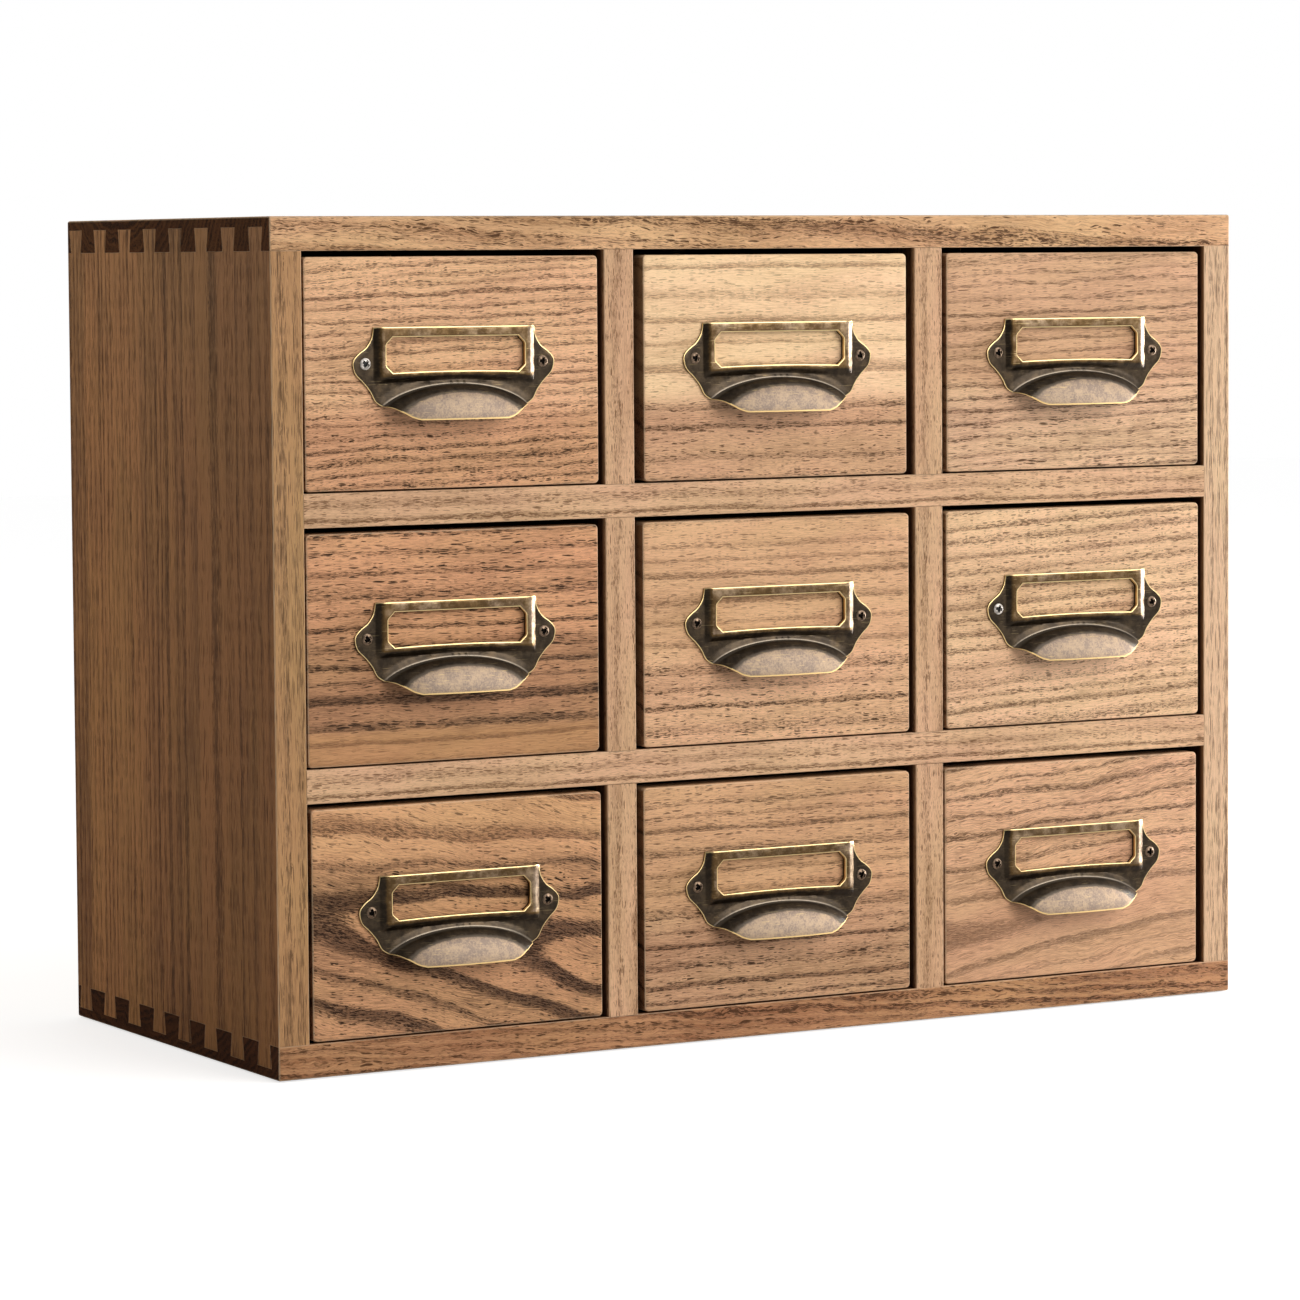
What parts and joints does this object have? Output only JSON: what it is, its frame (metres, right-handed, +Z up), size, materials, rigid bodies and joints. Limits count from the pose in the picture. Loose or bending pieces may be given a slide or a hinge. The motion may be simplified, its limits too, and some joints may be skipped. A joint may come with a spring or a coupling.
{
  "type": "card catalog cabinet",
  "caption": "Tabletop wooden card catalog cabinet: a dovetailed case divided by a grid, with inset sliding drawers that each carry a label-holder cup pull.",
  "frame": {"origin": "centre of the case's bottom face", "axes": "+X to the right as seen from the front, +Y from the drawer fronts to the back, +Z up"},
  "size_m": [0.406, 0.1882, 0.3],
  "materials": {
    "case_wood": "stained open-grain wood, satin",
    "front_wood": "stained open-grain wood, satin",
    "drawer_box_wood": "plain sanded wood, matt",
    "plywood": "thin plywood, matt",
    "antique_brass": "pressed sheet with dark patina, worn bright on its edges"
  },
  "bodies": {
    "case": {"left_side": "case_wood", "right_side": "case_wood", "top_board": "case_wood", "bottom_board": "case_wood", "back_panel": "plywood", "partition_grid": "case_wood"},
    "drawer_1": {"drawer_1_front": "front_wood", "drawer_1_left_side": "drawer_box_wood", "drawer_1_right_side": "drawer_box_wood", "drawer_1_back": "drawer_box_wood", "drawer_1_bottom": "plywood", "drawer_1_pull": "antique_brass"},
    "drawer_2": {"drawer_2_front": "front_wood", "drawer_2_left_side": "drawer_box_wood", "drawer_2_right_side": "drawer_box_wood", "drawer_2_back": "drawer_box_wood", "drawer_2_bottom": "plywood", "drawer_2_pull": "antique_brass"},
    "drawer_3": {"drawer_3_front": "front_wood", "drawer_3_left_side": "drawer_box_wood", "drawer_3_right_side": "drawer_box_wood", "drawer_3_back": "drawer_box_wood", "drawer_3_bottom": "plywood", "drawer_3_pull": "antique_brass"},
    "drawer_4": {"drawer_4_front": "front_wood", "drawer_4_left_side": "drawer_box_wood", "drawer_4_right_side": "drawer_box_wood", "drawer_4_back": "drawer_box_wood", "drawer_4_bottom": "plywood", "drawer_4_pull": "antique_brass"},
    "drawer_5": {"drawer_5_front": "front_wood", "drawer_5_left_side": "drawer_box_wood", "drawer_5_right_side": "drawer_box_wood", "drawer_5_back": "drawer_box_wood", "drawer_5_bottom": "plywood", "drawer_5_pull": "antique_brass"},
    "drawer_6": {"drawer_6_front": "front_wood", "drawer_6_left_side": "drawer_box_wood", "drawer_6_right_side": "drawer_box_wood", "drawer_6_back": "drawer_box_wood", "drawer_6_bottom": "plywood", "drawer_6_pull": "antique_brass"},
    "drawer_7": {"drawer_7_front": "front_wood", "drawer_7_left_side": "drawer_box_wood", "drawer_7_right_side": "drawer_box_wood", "drawer_7_back": "drawer_box_wood", "drawer_7_bottom": "plywood", "drawer_7_pull": "antique_brass"},
    "drawer_8": {"drawer_8_front": "front_wood", "drawer_8_left_side": "drawer_box_wood", "drawer_8_right_side": "drawer_box_wood", "drawer_8_back": "drawer_box_wood", "drawer_8_bottom": "plywood", "drawer_8_pull": "antique_brass"},
    "drawer_9": {"drawer_9_front": "front_wood", "drawer_9_left_side": "drawer_box_wood", "drawer_9_right_side": "drawer_box_wood", "drawer_9_back": "drawer_box_wood", "drawer_9_bottom": "plywood", "drawer_9_pull": "antique_brass"}
  },
  "joints": [
    {"name": "drawer_1_slide", "type": "slide", "parent": "case", "child": "drawer_1", "axis": [0, -1, 0], "range_m": [0, 0.15]},
    {"name": "drawer_2_slide", "type": "slide", "parent": "case", "child": "drawer_2", "axis": [0, -1, 0], "range_m": [0, 0.15]},
    {"name": "drawer_3_slide", "type": "slide", "parent": "case", "child": "drawer_3", "axis": [0, -1, 0], "range_m": [0, 0.15]},
    {"name": "drawer_4_slide", "type": "slide", "parent": "case", "child": "drawer_4", "axis": [0, -1, 0], "range_m": [0, 0.15]},
    {"name": "drawer_5_slide", "type": "slide", "parent": "case", "child": "drawer_5", "axis": [0, -1, 0], "range_m": [0, 0.15]},
    {"name": "drawer_6_slide", "type": "slide", "parent": "case", "child": "drawer_6", "axis": [0, -1, 0], "range_m": [0, 0.15]},
    {"name": "drawer_7_slide", "type": "slide", "parent": "case", "child": "drawer_7", "axis": [0, -1, 0], "range_m": [0, 0.15]},
    {"name": "drawer_8_slide", "type": "slide", "parent": "case", "child": "drawer_8", "axis": [0, -1, 0], "range_m": [0, 0.15]},
    {"name": "drawer_9_slide", "type": "slide", "parent": "case", "child": "drawer_9", "axis": [0, -1, 0], "range_m": [0, 0.15]}
  ]
}
